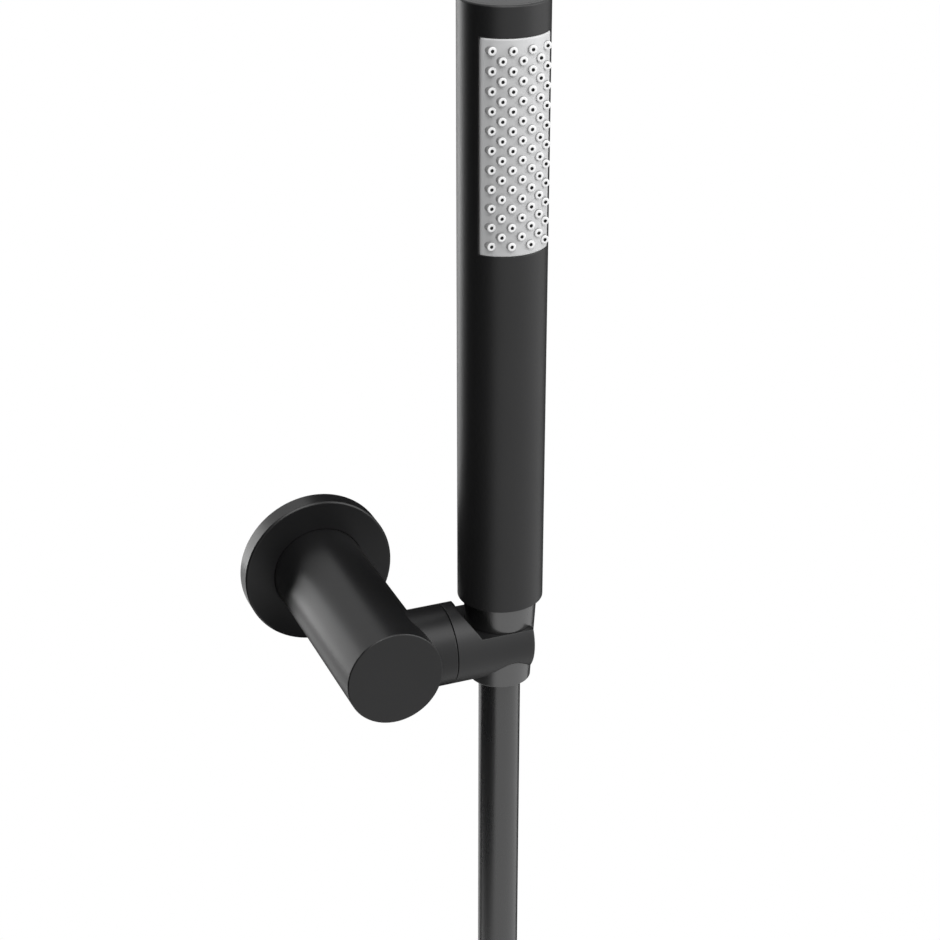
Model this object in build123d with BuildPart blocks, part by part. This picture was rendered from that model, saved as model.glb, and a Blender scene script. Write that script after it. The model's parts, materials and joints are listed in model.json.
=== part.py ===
"""Round handheld shower handset in a swivelling wall bracket, with its hose.

Millimetres. The origin is the middle of the flange's back, on the wall.
+X runs along the wall to the right, +Y into the wall and +Z up, so the spray faces -Y.
"""

import os
from math import asin, cos, pi, radians, sin, sqrt

from build123d import *

# Wall bracket
FLANGE_DIA = 53.3
FLANGE_THICK = 6.65
FLANGE_CHAMFER = 0.5
PLATE_DIA = 46.0
PLATE_THICK = 3.0
WALL_SCREW_SPACING = 34.0
WALL_SCREW_HOLE_DIA = 5.2
WALL_SCREW_HEAD_DIA = 9.4
PEG_DIA = 22.0
PEG_LENGTH = 20.0
PEG_CHAMFER = 1.0
PEG_GROOVE_OUT = 13.0
PEG_GROOVE_WIDTH = 6.0
PEG_GROOVE_DEPTH = 0.8
ARM_DIA = 32.4
ARM_LENGTH = 84.3
ARM_BORE_END = 50.0
ARM_COLLAR_DIA = 36.0
ARM_COLLAR_THICK = 1.2
ARM_EDGE = 0.3
GRUB_DIA = 5.0
GRUB_RECESS = 0.6
GRUB_KEY = 2.5
GRUB_KEY_DEPTH = 2.4
ASSEMBLY_CLEARANCE = 0.1

# Swivel between the arm's stub and the cradle
PIVOT_SET_BACK = 15.0
SWIVEL_DIA = 26.7
STUB_REACH = 22.2
SWIVEL_GAP = 0.3
FRICTION_WASHER_DIA = 21.0
FRICTION_WASHER_THICK = 1.0
PIVOT_SCREW_DIA = 6.0
PIVOT_SCREW_GRIP = 15.0
PIVOT_HEAD_DIA = 9.4
PIVOT_HEAD_HEIGHT = 3.0
PIVOT_KEY = 4.0
PIVOT_KEY_DEPTH = 1.8
SPRING_WASHER_DIA = 9.0
SPRING_WASHER_THICK = 0.5
SPRING_WASHER_HEIGHT = 0.9
RUNNING_CLEARANCE = 0.06

# Cradle
CRADLE_LENGTH = 26.93
CRADLE_WEB = 3.0
CRADLE_EDGE = 0.4
HANDSET_OFFSET = 42.24
CRADLE_FLOOR = 6.0
CRADLE_POCKET_DIA = 32.5
CRADLE_RELIEF_DIA = 24.56
CRADLE_RELIEF_DROP = 3.0
SEAT_CLEARANCE = 0.12

# Handset
HANDSET_DIA = 28.0
HANDSET_BOTTOM = 15.45
HANDSET_LENGTH = 197.85
HANDSET_WALL = 1.6
HANDSET_EDGE = 0.4
TOP_CAP_THICK = 2.4
TOP_CAP_SKIRT = 5.0
TOP_CAP_SKIRT_WALL = 1.5
SPRAY_SET_DOWN = 9.525
SPRAY_LENGTH = 66.15
SPRAY_HALF_ANGLE = 51.0
SPRAY_PROUD = 0.25
SPRAY_GAP = 0.12
CLIP_WIDTH = 9.0
CLIP_THICK = 0.9
CLIP_REACH = 3.2
CLIP_INSET = 0.2
NOZZLE_COLUMN_ANGLE = 11.627
NOZZLE_ROW_PITCH = 5.923
NOZZLE_BASE_DIA = 3.0
NOZZLE_TIP_DIA = 2.65
NOZZLE_HOLE_DIA = 1.0
NOZZLE_TIP_OUT = 1.15
NOZZLE_LENGTH = 7.0
NOZZLE_CLEARANCE = 0.05
MAT_THICK = 1.4
MAT_END_MARGIN = 1.4
MAT_SIDE_MARGIN = 0.4
CHAMBER_BACK = 4.0
CHAMBER_LEDGE = 1.2

# Waterway inside the handset
WATERWAY_BORE = 10.0
CARRIER_NECK_DIA = 15.0
CARRIER_END_GAP = 1.0
CARRIER_TAIL_DIA = 16.8
CARRIER_TAIL_LENGTH = 10.0
O_RING_SECTION = 1.8
SPIGOT_BODY_LENGTH = 18.0
SPIGOT_RECESS = 0.3
SPIGOT_SOCKET_GAP = 0.1
SPIGOT_SOCKET_DEPTH = 11.0
THREAD_DIA = 19.6
THREAD_LENGTH = 9.0
THREAD_CLEARANCE = 0.05
REGULATOR_DIA = 12.4
REGULATOR_THICK = 4.0
REGULATOR_HOLE = 4.0
REGULATOR_PORT_DIA = 1.6
REGULATOR_PORT_RING = 8.4
REGULATOR_PORTS = 6
WASHER_DIA = 18.4
WASHER_HOLE = 11.0
WASHER_THICK = 2.0

# Cone nut and hose fittings
NUT_TOP_GAP = 0.35
NUT_TOP_DIA = 24.19
NUT_LENGTH = 30.2
NUT_HALF_ANGLE = 3.46
COLLAR_DIA = 18.4
COLLAR_THICK = 2.0
SWIVEL_RING_THICK = 0.8
FERRULE_WALL = 0.8
FERRULE_LENGTH = 12.0
FERRULE_GAP = 0.3
STEM_BORE = 5.6
STEM_LENGTH = 14.0
STEM_BARB = 0.35
STEM_BARBS = 3
NUT_MOUTH_GAP = 0.4
OUTLET_NUT_FLATS = 24.0
OUTLET_NUT_LENGTH = 15.0
OUTLET_NUT_BASE = 2.4
OUTLET_NUT_CHAMFER = 0.8
OUTLET_NUT_RELIEF = 0.5
OUTLET_NUT_RELIEF_PAST = 0.5

# Hose: a straight drop that bends into two layers of hanging loops
# Its route is given as distances aside from the handset's axis, and heights
HOSE_DIA = 14.0
HOSE_BORE = 8.0
HOSE_FIT = 0.05
HOSE_ROUTE = [
    (0.0, -146.0),
    (8.56, -178.0),
    (25.06, -206.6),
    (48.36, -229.9),
]
ROUTE_SHARE = 0.45
COIL_TURNS = 2.125
COIL_START_RADIUS = 90.0
COIL_PITCH = 14.6
COIL_REVERSES_AT = 1.0
COIL_CLIMB_TURNS = 0.5
COIL_TAIL = 118.0
COIL_STEPS_PER_TURN = 4
DROP_SAMPLES = 60
COIL_SAMPLES = 400
TIE_AT_TURN = 0.06
TIE_LAPS = 3
TIE_WIDTH = 16.0
TIE_THICK = 1.5
TIE_SLACK = 1.3

# Sizes that follow from those above
PIVOT_OUT = ARM_LENGTH - PIVOT_SET_BACK
HANDSET_RADIUS = HANDSET_DIA / 2
HANDSET_INSIDE = HANDSET_RADIUS - HANDSET_WALL
HANDSET_TOP = HANDSET_BOTTOM + HANDSET_LENGTH
CRADLE_START = STUB_REACH + SWIVEL_GAP
HEAD_SEAT = CRADLE_START + CRADLE_WEB
NUT_TOP = HANDSET_BOTTOM - NUT_TOP_GAP
NUT_BOTTOM = NUT_TOP - NUT_LENGTH
NUT_TAPER = sin(radians(NUT_HALF_ANGLE)) / cos(radians(NUT_HALF_ANGLE))
THREAD_END = HANDSET_BOTTOM - THREAD_LENGTH
COLLAR_TOP = THREAD_END - WASHER_THICK
COLLAR_BOTTOM = COLLAR_TOP - COLLAR_THICK
RING_BOTTOM = COLLAR_BOTTOM - SWIVEL_RING_THICK
FERRULE_RADIUS = HOSE_DIA / 2 + HOSE_FIT + FERRULE_WALL
THROAT_RADIUS = FERRULE_RADIUS + FERRULE_GAP
STEM_RADIUS = HOSE_BORE / 2 - HOSE_FIT
SPRAY_MIDDLE = HANDSET_TOP - SPRAY_SET_DOWN - SPRAY_LENGTH / 2
SPRAY_BOTTOM = SPRAY_MIDDLE - SPRAY_LENGTH / 2
SPRAY_OUTSIDE = HANDSET_RADIUS + SPRAY_PROUD
SPRAY_HALF_WIDTH = SPRAY_OUTSIDE * sin(radians(SPRAY_HALF_ANGLE))
MAT_OUTSIDE = HANDSET_INSIDE - NOZZLE_CLEARANCE
MAT_INSIDE = MAT_OUTSIDE - MAT_THICK
MAT_LENGTH = SPRAY_LENGTH - 2 * MAT_END_MARGIN
MAT_HALF_WIDTH = SPRAY_HALF_WIDTH - MAT_SIDE_MARGIN
NOZZLE_ROWS = int((MAT_LENGTH - NOZZLE_BASE_DIA) / NOZZLE_ROW_PITCH) + 1
TIP_CIRCLE = HANDSET_RADIUS + NOZZLE_TIP_OUT
WIDEST_COLUMN = asin((MAT_HALF_WIDTH - NOZZLE_BASE_DIA / 2) / TIP_CIRCLE) * 180 / pi
NOZZLE_COLUMNS = 2 * int(WIDEST_COLUMN / NOZZLE_COLUMN_ANGLE) + 1
SPIGOT_TOP = HANDSET_BOTTOM + SPIGOT_BODY_LENGTH
TAIL_TOP = SPIGOT_TOP
TAIL_BOTTOM = TAIL_TOP - CARRIER_TAIL_LENGTH

# Planes and axes: out from the wall, along the swivel, up the handset
WALL = Plane(origin=(0, 0, 0), x_dir=(1, 0, 0), z_dir=(0, -1, 0))
PIVOT = Plane(origin=(0, -PIVOT_OUT, 0), x_dir=(0, 1, 0), z_dir=(1, 0, 0))
HANDSET = Plane(origin=(HANDSET_OFFSET, -PIVOT_OUT, 0), x_dir=(1, 0, 0), z_dir=(0, 0, 1))
SECTION = Plane(origin=HANDSET.origin, x_dir=(1, 0, 0), z_dir=(0, -1, 0))
HANDSET_AXIS = Axis(HANDSET.origin, (0, 0, 1))
PIVOT_AXIS = Axis(PIVOT.origin, (1, 0, 0))


def nut_radius(height):
    """Outer radius of the cone nut at a height."""
    return NUT_TOP_DIA / 2 - (NUT_TOP - height) * NUT_TAPER


def fan(inner, outer, half_angle):
    """Sketch of a ring sector about the handset's axis, centred on the spray side."""
    start = -90 - half_angle
    with BuildSketch() as sector:
        with BuildLine():
            far = CenterArc((0, 0), outer, start, 2 * half_angle)
            near = CenterArc((0, 0), inner, start, 2 * half_angle)
            Line(far @ 0, near @ 0)
            Line(far @ 1, near @ 1)
        make_face()
    return sector.sketch_local


def band(inner, outer, half_width):
    """Sketch of a straight-sided slice of a ring about the handset's axis, on the spray side."""
    with BuildSketch() as ring_slice:
        Circle(outer)
        Circle(inner, mode=Mode.SUBTRACT)
        with Locations((0, -outer)):
            Rectangle(2 * half_width, 2 * outer, mode=Mode.INTERSECT)
    return ring_slice.sketch_local


def nozzle_planes(depth):
    """Planes that face the front, a depth behind every nozzle's tip, in staggered columns."""
    planes = []
    for column in range(NOZZLE_COLUMNS):
        angle = radians((column - (NOZZLE_COLUMNS - 1) / 2) * NOZZLE_COLUMN_ANGLE)
        tip = HANDSET.origin + Vector(sin(angle), -cos(angle), 0) * TIP_CIRCLE
        rows = NOZZLE_ROWS - column % 2
        for row in range(rows):
            height = SPRAY_MIDDLE + ((rows - 1) / 2 - row) * NOZZLE_ROW_PITCH
            planes.append(Plane(origin=tip + Vector(0, depth, height), x_dir=(1, 0, 0), z_dir=(0, -1, 0)))
    return planes


def nipple_profile(top):
    """Outline of a hose tail: a collar, and a barbed stem that runs into the hose."""
    stem_start = COLLAR_THICK
    barb_length = (STEM_LENGTH - FERRULE_GAP) / STEM_BARBS
    points = [(STEM_BORE / 2, 0), (COLLAR_DIA / 2, 0), (COLLAR_DIA / 2, stem_start)]
    points.append((STEM_RADIUS - STEM_BARB, stem_start))
    for barb in range(STEM_BARBS):
        barb_start = stem_start + FERRULE_GAP + barb * barb_length
        points.append((STEM_RADIUS - STEM_BARB, barb_start))
        points.append((STEM_RADIUS, barb_start))
        points.append((STEM_RADIUS - STEM_BARB, barb_start + barb_length))
    points.append((STEM_BORE / 2, stem_start + STEM_LENGTH))
    distinct = [point for i, point in enumerate(points) if i == 0 or point != points[i - 1]]
    return [(radius, top - down) for radius, down in distinct]


# Wall plate: screwed to the wall, with the peg that carries the arm
with BuildPart() as wall_plate:
    with BuildSketch(WALL):
        Circle(PLATE_DIA / 2)
    extrude(amount=PLATE_THICK)
    with BuildSketch(WALL.offset(PLATE_THICK)):
        Circle(PEG_DIA / 2)
    extrude(amount=PEG_LENGTH)
    chamfer(wall_plate.faces().sort_by(Axis.Y)[0].edges(), PEG_CHAMFER)
    with BuildSketch(WALL.offset(PEG_GROOVE_OUT - PEG_GROOVE_WIDTH / 2)):
        Circle(PEG_DIA)
        Circle(PEG_DIA / 2 - PEG_GROOVE_DEPTH, mode=Mode.SUBTRACT)
    extrude(amount=PEG_GROOVE_WIDTH, mode=Mode.SUBTRACT)
    with Locations(WALL.offset(PLATE_THICK)):
        with GridLocations(WALL_SCREW_SPACING, WALL_SCREW_SPACING, 2, 1):
            CounterSinkHole(WALL_SCREW_HOLE_DIA / 2, WALL_SCREW_HEAD_DIA / 2, PLATE_THICK)

# Wall flange: the cover ring, trapped behind the arm's collar
with BuildPart() as wall_flange:
    with BuildSketch(WALL):
        Circle(FLANGE_DIA / 2)
    extrude(amount=FLANGE_THICK)
    chamfer(wall_flange.faces().sort_by(Axis.Y)[0].edges(), FLANGE_CHAMFER)
    with BuildSketch(WALL):
        Circle(PLATE_DIA / 2 + ASSEMBLY_CLEARANCE)
    extrude(amount=PLATE_THICK, mode=Mode.SUBTRACT)
    with BuildSketch(WALL.offset(PLATE_THICK)):
        Circle(ARM_COLLAR_DIA / 2 + ASSEMBLY_CLEARANCE)
    extrude(amount=ARM_COLLAR_THICK, mode=Mode.SUBTRACT)
    with BuildSketch(WALL):
        Circle(ARM_DIA / 2 + ASSEMBLY_CLEARANCE)
    extrude(amount=FLANGE_THICK, mode=Mode.SUBTRACT)

# Arm: a bored bar on the peg, with the swivel's stub on its right
with BuildPart() as arm:
    with BuildSketch(WALL.offset(PLATE_THICK)):
        Circle(ARM_DIA / 2)
    extrude(amount=ARM_LENGTH - PLATE_THICK)
    chamfer(arm.faces().sort_by(Axis.Y)[0].edges(), ARM_EDGE)
    with BuildSketch(WALL.offset(PLATE_THICK)):
        Circle(ARM_COLLAR_DIA / 2)
    extrude(amount=ARM_COLLAR_THICK)
    with BuildSketch(PIVOT):
        Circle(SWIVEL_DIA / 2)
    extrude(amount=STUB_REACH)
    with BuildSketch(WALL.offset(PLATE_THICK)):
        Circle(PEG_DIA / 2 + ASSEMBLY_CLEARANCE)
    extrude(amount=ARM_BORE_END - PLATE_THICK, mode=Mode.SUBTRACT)
    with BuildSketch(Plane(origin=(0, -PEG_GROOVE_OUT, 0), x_dir=(1, 0, 0), z_dir=(0, 0, -1))):
        Circle(GRUB_DIA / 2 + RUNNING_CLEARANCE)
    extrude(amount=ARM_DIA, mode=Mode.SUBTRACT)
    with BuildSketch(PIVOT.offset(STUB_REACH)):
        Circle(FRICTION_WASHER_DIA / 2 + ASSEMBLY_CLEARANCE)
    extrude(amount=SWIVEL_GAP - FRICTION_WASHER_THICK, mode=Mode.SUBTRACT)
    with BuildSketch(PIVOT.offset(STUB_REACH)):
        Circle(PIVOT_SCREW_DIA / 2 + RUNNING_CLEARANCE)
    extrude(amount=-PIVOT_SCREW_GRIP, mode=Mode.SUBTRACT)

# Grub screw: locks the arm on the peg's groove from below
with BuildPart() as arm_grub_screw:
    grub_tip = PEG_DIA / 2 - PEG_GROOVE_DEPTH
    grub_length = ARM_DIA / 2 - GRUB_RECESS - grub_tip
    GRUB = Plane(origin=(0, -PEG_GROOVE_OUT, -grub_tip), x_dir=(1, 0, 0), z_dir=(0, 0, -1))
    with BuildSketch(GRUB):
        Circle(GRUB_DIA / 2)
    extrude(amount=grub_length)
    with BuildSketch(GRUB.offset(grub_length)):
        RegularPolygon(GRUB_KEY / 2, 6, major_radius=False)
    extrude(amount=-GRUB_KEY_DEPTH, mode=Mode.SUBTRACT)

# Friction washer: between the stub and the cradle, half sunk in the stub
with BuildPart() as friction_washer:
    with BuildSketch(PIVOT.offset(CRADLE_START - FRICTION_WASHER_THICK)):
        Circle(FRICTION_WASHER_DIA / 2)
        Circle(PIVOT_SCREW_DIA / 2 + ASSEMBLY_CLEARANCE, mode=Mode.SUBTRACT)
    extrude(amount=FRICTION_WASHER_THICK)

# Spring washer: a cone that keeps the swivel tight under the screw's head
with BuildPart() as spring_washer:
    hole = PIVOT_SCREW_DIA / 2 + ASSEMBLY_CLEARANCE
    rise = SPRING_WASHER_HEIGHT - SPRING_WASHER_THICK
    with BuildSketch(Plane(origin=(HEAD_SEAT, -PIVOT_OUT, 0), x_dir=(0, 1, 0), z_dir=(0, 0, -1))):
        Polygon(
            [
                (SPRING_WASHER_DIA / 2, 0),
                (SPRING_WASHER_DIA / 2, SPRING_WASHER_THICK),
                (hole, SPRING_WASHER_HEIGHT),
                (hole, rise),
            ],
            align=None,
        )
    revolve(axis=PIVOT_AXIS)

# Pivot screw: driven through the cradle's socket into the arm
with BuildPart() as pivot_screw:
    head_start = HEAD_SEAT + SPRING_WASHER_HEIGHT
    with BuildSketch(PIVOT.offset(STUB_REACH - PIVOT_SCREW_GRIP)):
        Circle(PIVOT_SCREW_DIA / 2)
    extrude(amount=head_start - STUB_REACH + PIVOT_SCREW_GRIP)
    with BuildSketch(PIVOT.offset(head_start)):
        Circle(PIVOT_HEAD_DIA / 2)
    extrude(amount=PIVOT_HEAD_HEIGHT)
    with BuildSketch(PIVOT.offset(head_start + PIVOT_HEAD_HEIGHT)):
        RegularPolygon(PIVOT_KEY / 2, 6, major_radius=False)
    extrude(amount=-PIVOT_KEY_DEPTH, mode=Mode.SUBTRACT)

# Cradle: a bar with a tapered socket that is open to the right for the hose
with BuildPart() as cradle:
    with BuildSketch(PIVOT.offset(CRADLE_START)):
        Circle(SWIVEL_DIA / 2)
    extrude(amount=CRADLE_LENGTH)
    chamfer(cradle.faces().sort_by(Axis.X)[-1].edges(), CRADLE_EDGE)
    with BuildSketch(HANDSET.offset(CRADLE_FLOOR)):
        Circle(CRADLE_POCKET_DIA / 2)
    extrude(amount=SWIVEL_DIA, mode=Mode.SUBTRACT)
    with BuildSketch(SECTION):
        Polygon(
            [
                (0, NUT_BOTTOM),
                (nut_radius(NUT_BOTTOM) + SEAT_CLEARANCE, NUT_BOTTOM),
                (nut_radius(NUT_TOP) + SEAT_CLEARANCE, NUT_TOP),
                (0, NUT_TOP),
            ],
            align=None,
        )
    revolve(axis=HANDSET_AXIS, mode=Mode.SUBTRACT)
    with BuildSketch(HANDSET.offset(-CRADLE_RELIEF_DROP)):
        Circle(CRADLE_RELIEF_DIA / 2)
    extrude(amount=-SWIVEL_DIA, mode=Mode.SUBTRACT)
    with BuildSketch(PIVOT.offset(HEAD_SEAT)):
        Circle(PIVOT_HEAD_DIA / 2 + SWIVEL_GAP)
    extrude(amount=HANDSET_OFFSET - HEAD_SEAT, mode=Mode.SUBTRACT)
    with BuildSketch(PIVOT.offset(CRADLE_START)):
        Circle(PIVOT_SCREW_DIA / 2 + RUNNING_CLEARANCE)
    extrude(amount=CRADLE_WEB, mode=Mode.SUBTRACT)

# Handset tube, with the window of the spray plate
with BuildPart() as handset_tube:
    with BuildSketch(HANDSET.offset(HANDSET_BOTTOM)):
        Circle(HANDSET_RADIUS)
    extrude(amount=HANDSET_LENGTH)
    chamfer(handset_tube.faces().sort_by(Axis.Z)[-1].edges(), HANDSET_EDGE)
    with BuildSketch(HANDSET.offset(HANDSET_BOTTOM)):
        Circle(HANDSET_INSIDE)
    extrude(amount=HANDSET_LENGTH, mode=Mode.SUBTRACT)
    with BuildSketch(HANDSET.offset(SPRAY_BOTTOM - SPRAY_GAP)):
        with Locations((0, -HANDSET_RADIUS)):
            Rectangle(2 * (SPRAY_HALF_WIDTH + SPRAY_GAP), HANDSET_DIA)
    extrude(amount=SPRAY_LENGTH + 2 * SPRAY_GAP, mode=Mode.SUBTRACT)

# Top cap: closes the tube flush with its end
with BuildPart() as top_cap:
    cap_radius = HANDSET_INSIDE - RUNNING_CLEARANCE
    with BuildSketch(HANDSET.offset(HANDSET_TOP - TOP_CAP_THICK)):
        Circle(cap_radius)
    extrude(amount=TOP_CAP_THICK)
    with BuildSketch(HANDSET.offset(HANDSET_TOP - TOP_CAP_THICK)):
        Circle(cap_radius)
        Circle(cap_radius - TOP_CAP_SKIRT_WALL, mode=Mode.SUBTRACT)
    extrude(amount=-TOP_CAP_SKIRT)

# Spray plate: a curved plate in the window, with two clips that hook into the carrier
with BuildPart() as spray_plate:
    with BuildSketch(HANDSET.offset(SPRAY_BOTTOM)):
        add(band(HANDSET_INSIDE, SPRAY_OUTSIDE, SPRAY_HALF_WIDTH))
    extrude(amount=SPRAY_LENGTH)
    for clip_bottom in (SPRAY_BOTTOM + CLIP_INSET, SPRAY_BOTTOM + SPRAY_LENGTH - CLIP_INSET - CLIP_THICK):
        with BuildSketch(HANDSET.offset(clip_bottom)):
            clip_angle = CLIP_WIDTH / 2 / HANDSET_INSIDE * 180 / pi
            add(fan(HANDSET_INSIDE - CLIP_REACH, HANDSET_RADIUS, clip_angle))
        extrude(amount=CLIP_THICK)
    with Locations(*nozzle_planes(NOZZLE_LENGTH)):
        Cylinder(
            NOZZLE_BASE_DIA / 2 + NOZZLE_CLEARANCE,
            NOZZLE_LENGTH,
            align=(Align.CENTER, Align.CENTER, Align.MIN),
            mode=Mode.SUBTRACT,
        )

# Nozzle mat: one soft sheet behind the plate, with every nozzle moulded on it
with BuildPart() as nozzle_mat:
    with Locations(*nozzle_planes(NOZZLE_LENGTH)):
        Cone(
            NOZZLE_BASE_DIA / 2,
            NOZZLE_TIP_DIA / 2,
            NOZZLE_LENGTH,
            align=(Align.CENTER, Align.CENTER, Align.MIN),
        )
    with BuildSketch(HANDSET.offset(SPRAY_BOTTOM)):
        Circle(MAT_INSIDE + MAT_THICK / 2)
    extrude(amount=SPRAY_LENGTH, mode=Mode.SUBTRACT)
    with BuildSketch(HANDSET.offset(SPRAY_MIDDLE - MAT_LENGTH / 2)):
        add(band(MAT_INSIDE, MAT_OUTSIDE, MAT_HALF_WIDTH))
    extrude(amount=MAT_LENGTH)
    with Locations(*nozzle_planes(NOZZLE_LENGTH + MAT_THICK)):
        Cylinder(
            NOZZLE_HOLE_DIA / 2,
            NOZZLE_LENGTH + MAT_THICK,
            align=(Align.CENTER, Align.CENTER, Align.MIN),
            mode=Mode.SUBTRACT,
        )

# Water carrier: the inner pipe, widening into the chamber behind the mat
with BuildPart() as water_carrier:
    carrier_radius = HANDSET_INSIDE - ASSEMBLY_CLEARANCE
    head_bottom = SPRAY_BOTTOM - CHAMBER_LEDGE
    head_top = HANDSET_TOP - TOP_CAP_THICK - TOP_CAP_SKIRT - CARRIER_END_GAP
    with BuildSketch(HANDSET.offset(TAIL_BOTTOM)):
        Circle(CARRIER_TAIL_DIA / 2)
    extrude(amount=CARRIER_TAIL_LENGTH)
    with BuildSketch(HANDSET.offset(TAIL_TOP)):
        Circle(CARRIER_NECK_DIA / 2)
    extrude(amount=head_bottom - TAIL_TOP)
    with BuildSketch(HANDSET.offset(head_bottom)):
        Circle(carrier_radius)
    extrude(amount=head_top - head_bottom)
    with BuildSketch(HANDSET.offset(SPRAY_BOTTOM)):
        add(band(MAT_INSIDE, HANDSET_DIA, MAT_HALF_WIDTH + ASSEMBLY_CLEARANCE))
    extrude(amount=SPRAY_LENGTH, mode=Mode.SUBTRACT)
    chamber_bottom = SPRAY_MIDDLE - MAT_LENGTH / 2 + CHAMBER_LEDGE
    with BuildSketch(HANDSET.offset(chamber_bottom)):
        with Locations((0, -(CHAMBER_BACK + MAT_OUTSIDE) / 2)):
            Rectangle(2 * (MAT_HALF_WIDTH - CHAMBER_LEDGE), MAT_OUTSIDE - CHAMBER_BACK)
    extrude(amount=MAT_LENGTH - 2 * CHAMBER_LEDGE, mode=Mode.SUBTRACT)
    with BuildSketch(HANDSET.offset(TAIL_BOTTOM)):
        Circle(WATERWAY_BORE / 2)
    extrude(amount=SPRAY_MIDDLE - TAIL_BOTTOM, mode=Mode.SUBTRACT)
    with BuildSketch(HANDSET.offset(SPRAY_BOTTOM)):
        clip_pocket_angle = (CLIP_WIDTH / 2 + CLIP_INSET) / HANDSET_INSIDE * 180 / pi
        add(fan(HANDSET_INSIDE - CLIP_REACH - CLIP_INSET, HANDSET_DIA, clip_pocket_angle))
    extrude(amount=CLIP_THICK + 2 * CLIP_INSET, mode=Mode.SUBTRACT)
    with BuildSketch(HANDSET.offset(SPRAY_BOTTOM + SPRAY_LENGTH)):
        add(fan(HANDSET_INSIDE - CLIP_REACH - CLIP_INSET, HANDSET_DIA, clip_pocket_angle))
    extrude(amount=-CLIP_THICK - 2 * CLIP_INSET, mode=Mode.SUBTRACT)
    groove_middle = TAIL_BOTTOM + CARRIER_TAIL_LENGTH / 2
    groove_bottom_radius = CARRIER_TAIL_DIA / 2 + SPIGOT_SOCKET_GAP - O_RING_SECTION
    with BuildSketch(HANDSET.offset(groove_middle - O_RING_SECTION / 2 - ASSEMBLY_CLEARANCE)):
        Circle(CARRIER_TAIL_DIA)
        Circle(groove_bottom_radius, mode=Mode.SUBTRACT)
    extrude(amount=O_RING_SECTION + 2 * ASSEMBLY_CLEARANCE, mode=Mode.SUBTRACT)

# O-ring that seals the carrier's tail in the spigot
with BuildPart() as carrier_o_ring:
    with BuildSketch(SECTION):
        with Locations((CARRIER_TAIL_DIA / 2 + SPIGOT_SOCKET_GAP - O_RING_SECTION / 2, groove_middle)):
            Circle(O_RING_SECTION / 2)
    revolve(axis=HANDSET_AXIS)

# Inlet spigot: fixed in the tube's end, with the threaded stub for the hose nut
with BuildPart() as inlet_spigot:
    socket_radius = CARRIER_TAIL_DIA / 2 + SPIGOT_SOCKET_GAP
    body_radius = HANDSET_INSIDE - RUNNING_CLEARANCE
    regulator_radius = REGULATOR_DIA / 2 + RUNNING_CLEARANCE
    with BuildSketch(SECTION):
        Polygon(
            [
                (regulator_radius, THREAD_END),
                (THREAD_DIA / 2, THREAD_END),
                (THREAD_DIA / 2, HANDSET_BOTTOM + SPIGOT_RECESS),
                (body_radius, HANDSET_BOTTOM + SPIGOT_RECESS),
                (body_radius, SPIGOT_TOP),
                (socket_radius, SPIGOT_TOP),
                (socket_radius, SPIGOT_TOP - SPIGOT_SOCKET_DEPTH),
                (WATERWAY_BORE / 2, SPIGOT_TOP - SPIGOT_SOCKET_DEPTH),
                (WATERWAY_BORE / 2, THREAD_END + REGULATOR_THICK),
                (regulator_radius, THREAD_END + REGULATOR_THICK),
            ],
            align=None,
        )
    revolve(axis=HANDSET_AXIS)

# Flow regulator: a plate with small ports in the mouth of the spigot
with BuildPart() as flow_regulator:
    with BuildSketch(HANDSET.offset(THREAD_END)):
        Circle(REGULATOR_DIA / 2)
        Circle(REGULATOR_HOLE / 2, mode=Mode.SUBTRACT)
        with PolarLocations(REGULATOR_PORT_RING / 2, REGULATOR_PORTS):
            Circle(REGULATOR_PORT_DIA / 2, mode=Mode.SUBTRACT)
    extrude(amount=REGULATOR_THICK)

# Filter washer: the flat seal between the spigot and the hose tail
with BuildPart() as filter_washer:
    with BuildSketch(HANDSET.offset(COLLAR_TOP)):
        Circle(WASHER_DIA / 2)
        Circle(WASHER_HOLE / 2, mode=Mode.SUBTRACT)
    extrude(amount=WASHER_THICK)

# Cone nut: hangs on the hose tail's collar and screws on the spigot
with BuildPart() as cone_nut:
    thread_radius = THREAD_DIA / 2 + THREAD_CLEARANCE
    mouth_radius = HOSE_DIA / 2 + NUT_MOUTH_GAP
    throat_end = COLLAR_BOTTOM - FERRULE_LENGTH - 2 * FERRULE_GAP
    with BuildSketch(SECTION):
        Polygon(
            [
                (thread_radius, NUT_TOP),
                (nut_radius(NUT_TOP), NUT_TOP),
                (nut_radius(NUT_BOTTOM), NUT_BOTTOM),
                (mouth_radius, NUT_BOTTOM),
                (mouth_radius, throat_end),
                (THROAT_RADIUS, throat_end),
                (THROAT_RADIUS, RING_BOTTOM),
                (thread_radius, RING_BOTTOM),
            ],
            align=None,
        )
    revolve(axis=HANDSET_AXIS)

# Swivel ring: the slip ring between the collar and the nut's shoulder
with BuildPart() as swivel_ring:
    with BuildSketch(HANDSET.offset(RING_BOTTOM)):
        Circle(THREAD_DIA / 2 - ASSEMBLY_CLEARANCE)
        Circle(FERRULE_RADIUS + ASSEMBLY_CLEARANCE, mode=Mode.SUBTRACT)
    extrude(amount=SWIVEL_RING_THICK)

# Hose tail: the collar and barbed stem at the handset's end of the hose
with BuildPart() as hose_nipple:
    with BuildSketch(SECTION):
        Polygon(nipple_profile(COLLAR_TOP), align=None)
    revolve(axis=HANDSET_AXIS)

# Ferrule crimped round the hose on that stem
with BuildPart() as nipple_ferrule:
    with BuildSketch(HANDSET.offset(COLLAR_BOTTOM - FERRULE_GAP)):
        Circle(FERRULE_RADIUS)
        Circle(HOSE_DIA / 2 + HOSE_FIT, mode=Mode.SUBTRACT)
    extrude(amount=-FERRULE_LENGTH)

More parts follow.
